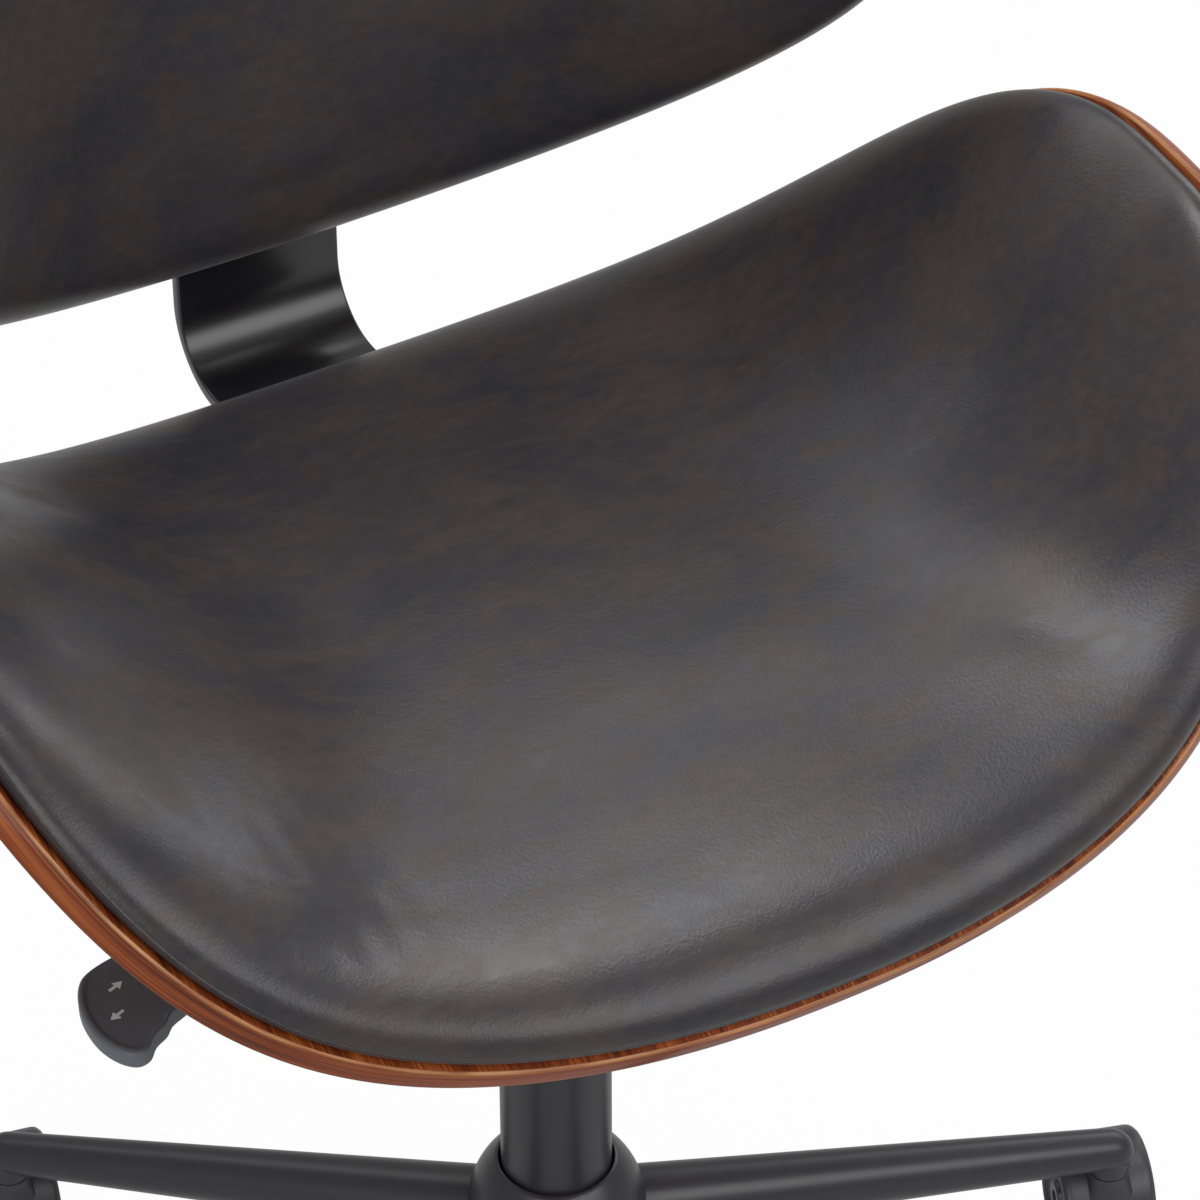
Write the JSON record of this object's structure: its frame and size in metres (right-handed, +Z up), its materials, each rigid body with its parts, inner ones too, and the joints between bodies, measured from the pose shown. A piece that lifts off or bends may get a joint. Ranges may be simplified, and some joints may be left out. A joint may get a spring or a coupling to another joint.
{
  "type": "swivel task chair",
  "caption": "Armless rolling chair with a winged bent-ply seat and back, glued pads, a flat steel back strap, a gas lift with lever and a star base on twin-wheel casters.",
  "frame": {"origin": "on the floor under the middle of the chair's width and depth", "axes": "+Z up, -Y is the sitter's front, +X is the sitter's left"},
  "size_m": [0.6164, 0.5846, 0.7887],
  "materials": {
    "walnut_ply": "lacquered",
    "dark_brown_leather": "satin, faintly mottled",
    "black_plastic": "fine grain",
    "satin_black_steel": "satin",
    "zinc_steel": "satin",
    "dark_grey_paint": "satin powder coat",
    "bright_steel": "polished",
    "grey_nylon": "satin"
  },
  "bodies": {
    "base": {"hub": "dark_grey_paint", "leg_1": "dark_grey_paint", "leg_2": "dark_grey_paint", "leg_3": "dark_grey_paint", "leg_4": "dark_grey_paint", "leg_5": "dark_grey_paint", "lift_tube": "dark_grey_paint", "guide_bush": "black_plastic"},
    "piston": {"lift_piston": "bright_steel"},
    "seat": {"lift_cylinder": "satin_black_steel", "lift_socket": "satin_black_steel", "seat_plate": "satin_black_steel", "plate_screw_1": "zinc_steel", "plate_screw_2": "zinc_steel", "plate_screw_3": "zinc_steel", "plate_screw_4": "zinc_steel", "seat_shell": "walnut_ply", "seat_pad": "dark_brown_leather", "strap_spacer": "black_plastic", "back_strap": "satin_black_steel", "strap_screw_1": "zinc_steel", "strap_screw_2": "zinc_steel", "strap_screw_3": "zinc_steel", "strap_screw_4": "zinc_steel", "back_screw_1": "zinc_steel", "back_screw_2": "zinc_steel", "back_screw_3": "zinc_steel", "back_screw_4": "zinc_steel", "back_shell": "walnut_ply", "back_pad": "dark_brown_leather", "lever_ear_rear": "satin_black_steel", "lever_ear_front": "satin_black_steel", "lever_pin": "zinc_steel"},
    "lever": {"lever_rod": "zinc_steel", "lever_paddle": "black_plastic"},
    "valve": {"lift_button": "zinc_steel"},
    "caster_1": {"caster_1_hood": "grey_nylon"},
    "caster_1_wheel_left": {"caster_1_wheel_left": "black_plastic"},
    "caster_1_wheel_right": {"caster_1_wheel_right": "black_plastic"},
    "caster_2": {"caster_2_hood": "grey_nylon"},
    "caster_2_wheel_left": {"caster_2_wheel_left": "black_plastic"},
    "caster_2_wheel_right": {"caster_2_wheel_right": "black_plastic"},
    "caster_3": {"caster_3_hood": "grey_nylon"},
    "caster_3_wheel_left": {"caster_3_wheel_left": "black_plastic"},
    "caster_3_wheel_right": {"caster_3_wheel_right": "black_plastic"},
    "caster_4": {"caster_4_hood": "grey_nylon"},
    "caster_4_wheel_left": {"caster_4_wheel_left": "black_plastic"},
    "caster_4_wheel_right": {"caster_4_wheel_right": "black_plastic"},
    "caster_5": {"caster_5_hood": "grey_nylon"},
    "caster_5_wheel_left": {"caster_5_wheel_left": "black_plastic"},
    "caster_5_wheel_right": {"caster_5_wheel_right": "black_plastic"}
  },
  "joints": [
    {"name": "seat_swivel", "type": "hinge", "parent": "base", "child": "piston", "pos_m": [0, -0.00615, 0.06], "axis": [0, 0, 1], "continuous": true},
    {"name": "seat_height", "type": "slide", "parent": "piston", "child": "seat", "axis": [0, 0, 1], "range_m": [-0.06, 0.04]},
    {"name": "lift_lever", "type": "hinge", "parent": "seat", "child": "lever", "pos_m": [-0.03217, -0.01716, 0.41887], "axis": [-0.3239, 0.9461, 0], "range_deg": [0, 5], "stiffness_Nm_per_rad": 1.5},
    {"name": "valve_press", "type": "slide", "parent": "seat", "child": "valve", "axis": [0, 0, -1], "range_m": [0, 0.0032]},
    {"name": "caster_1_swivel", "type": "hinge", "parent": "base", "child": "caster_1", "pos_m": [0.136, 0.22941, 0.0607], "axis": [0, 0, 1], "continuous": true},
    {"name": "caster_1_wheel_left_spin", "type": "hinge", "parent": "caster_1", "child": "caster_1_wheel_left", "pos_m": [0.13338, 0.24585, 0.025], "axis": [-0.9925, 0.1219, 0], "continuous": true},
    {"name": "caster_1_wheel_right_spin", "type": "hinge", "parent": "caster_1", "child": "caster_1_wheel_right", "pos_m": [0.14252, 0.24473, 0.025], "axis": [-0.9925, 0.1219, 0], "continuous": true},
    {"name": "caster_2_swivel", "type": "hinge", "parent": "base", "child": "caster_2", "pos_m": [-0.182, 0.19599, 0.0607], "axis": [0, 0, 1], "continuous": true},
    {"name": "caster_2_wheel_left_spin", "type": "hinge", "parent": "caster_2", "child": "caster_2_wheel_left", "pos_m": [-0.18318, 0.21259, 0.025], "axis": [-0.9781, 0.2079, 0], "continuous": true},
    {"name": "caster_2_wheel_right_spin", "type": "hinge", "parent": "caster_2", "child": "caster_2_wheel_right", "pos_m": [-0.17418, 0.21068, 0.025], "axis": [-0.9781, 0.2079, 0], "continuous": true},
    {"name": "caster_3_swivel", "type": "hinge", "parent": "base", "child": "caster_3", "pos_m": [-0.24848, -0.11678, 0.0607], "axis": [0, 0, 1], "continuous": true},
    {"name": "caster_3_wheel_left_spin", "type": "hinge", "parent": "caster_3", "child": "caster_3_wheel_left", "pos_m": [-0.2456, -0.10038, 0.025], "axis": [-0.8988, 0.4384, 0], "continuous": true},
    {"name": "caster_3_wheel_right_spin", "type": "hinge", "parent": "caster_3", "child": "caster_3_wheel_right", "pos_m": [-0.23734, -0.10442, 0.025], "axis": [-0.8988, 0.4384, 0], "continuous": true},
    {"name": "caster_4_swivel", "type": "hinge", "parent": "base", "child": "caster_4", "pos_m": [0.02843, -0.27666, 0.0607], "axis": [0, 0, 1], "continuous": true},
    {"name": "caster_4_wheel_left_spin", "type": "hinge", "parent": "caster_4", "child": "caster_4_wheel_left", "pos_m": [0.02086, -0.26183, 0.025], "axis": [-0.9816, -0.1908, 0], "continuous": true},
    {"name": "caster_4_wheel_right_spin", "type": "hinge", "parent": "caster_4", "child": "caster_4_wheel_right", "pos_m": [0.02989, -0.26008, 0.025], "axis": [-0.9816, -0.1908, 0], "continuous": true},
    {"name": "caster_5_swivel", "type": "hinge", "parent": "base", "child": "caster_5", "pos_m": [0.26606, -0.0627, 0.0607], "axis": [0, 0, 1], "continuous": true},
    {"name": "caster_5_wheel_left_spin", "type": "hinge", "parent": "caster_5", "child": "caster_5_wheel_left", "pos_m": [0.26663, -0.04606, 0.025], "axis": [-0.9511, 0.309, 0], "continuous": true},
    {"name": "caster_5_wheel_right_spin", "type": "hinge", "parent": "caster_5", "child": "caster_5_wheel_right", "pos_m": [0.27537, -0.04891, 0.025], "axis": [-0.9511, 0.309, 0], "continuous": true}
  ],
  "couplings": [
    {"joint": "valve_press", "follows": "lift_lever", "m_per_rad": 0.034}
  ]
}
